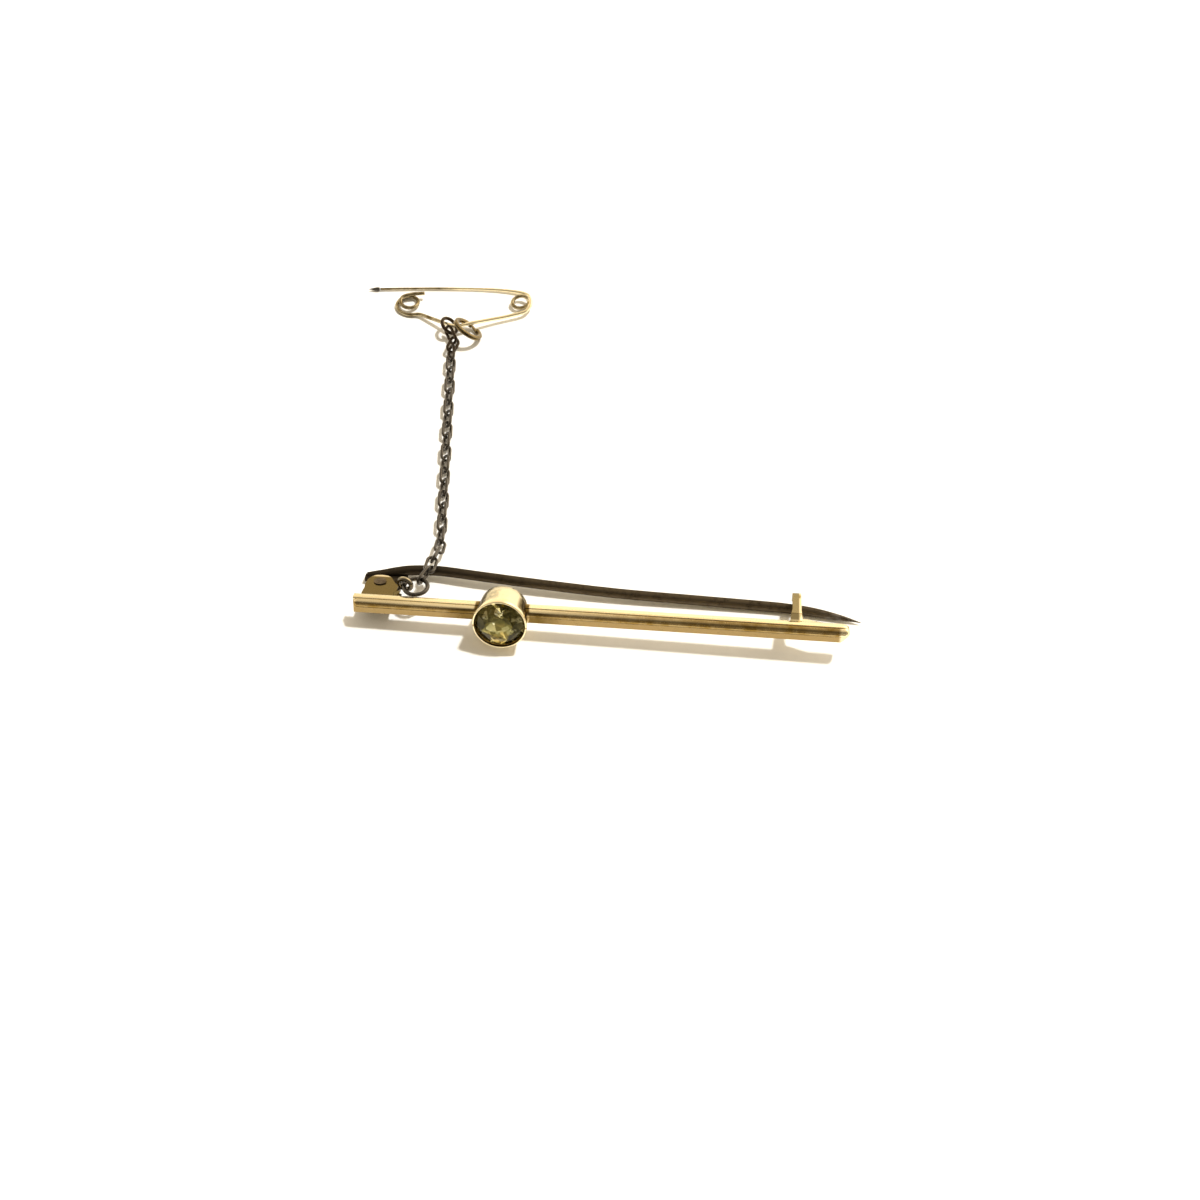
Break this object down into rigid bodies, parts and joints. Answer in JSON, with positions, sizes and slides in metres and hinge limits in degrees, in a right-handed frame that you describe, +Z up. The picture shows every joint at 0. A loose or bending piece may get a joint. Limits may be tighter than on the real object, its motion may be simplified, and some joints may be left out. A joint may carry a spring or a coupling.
{
  "type": "bar brooch",
  "caption": "Slim gold bar brooch with a round collet-set green stone, a hinged steel pin under a hook catch, and a fine safety chain that ends in a small bent-wire safety pin.",
  "frame": {"origin": "middle of the whole object's footprint, on the surface that it lies on", "axes": "+X along the bar from the hinge towards the catch, -Y towards the side that the stone faces, +Z up from the surface"},
  "size_m": [0.0577, 0.0502, 0.0061],
  "materials": {
    "gold": "worn pale yellow gold, polished, with soft scratches",
    "stone": "faceted olive green stone, slightly included",
    "rivet_gold": "worn gold, darkened round the head",
    "pin_steel": "dark browned steel, lightly pitted, bright at the tip",
    "dark_silver": "oxidised silver wire, bright where it rubs",
    "ring_gold": "dull brownish gold wire",
    "pin_gold": "bright gold wire, darker in the bends",
    "point_steel": "dark steel point"
  },
  "bodies": {
    "brooch": {"brooch_frame": "gold", "stone": "stone", "hinge_rivet": "rivet_gold", "jump_ring": "dark_silver", "chain_link_1": "dark_silver", "chain_link_2": "dark_silver", "chain_link_3": "dark_silver", "chain_link_4": "dark_silver", "chain_link_5": "dark_silver", "chain_link_6": "dark_silver", "chain_link_7": "dark_silver", "chain_link_8": "dark_silver", "chain_link_9": "dark_silver", "chain_link_10": "dark_silver", "chain_link_11": "dark_silver", "chain_link_12": "dark_silver", "chain_link_13": "dark_silver", "chain_link_14": "dark_silver", "chain_link_15": "dark_silver", "chain_link_16": "dark_silver", "chain_link_17": "dark_silver", "chain_link_18": "dark_silver", "chain_link_19": "dark_silver", "chain_link_20": "dark_silver", "chain_link_21": "dark_silver", "chain_link_22": "dark_silver", "chain_link_23": "dark_silver", "chain_end_ring": "dark_silver", "split_ring": "ring_gold", "safety_pin": "pin_gold", "safety_pin_point": "point_steel"},
    "pin": {"pin_stem": "pin_steel"}
  },
  "joints": [
    {"name": "pin_hinge", "type": "hinge", "parent": "brooch", "child": "pin", "pos_m": [-0.02048, -0.01882, 0.00114], "axis": [-0.016, 0.3907, 0.9204], "range_deg": [0, 70]}
  ]
}
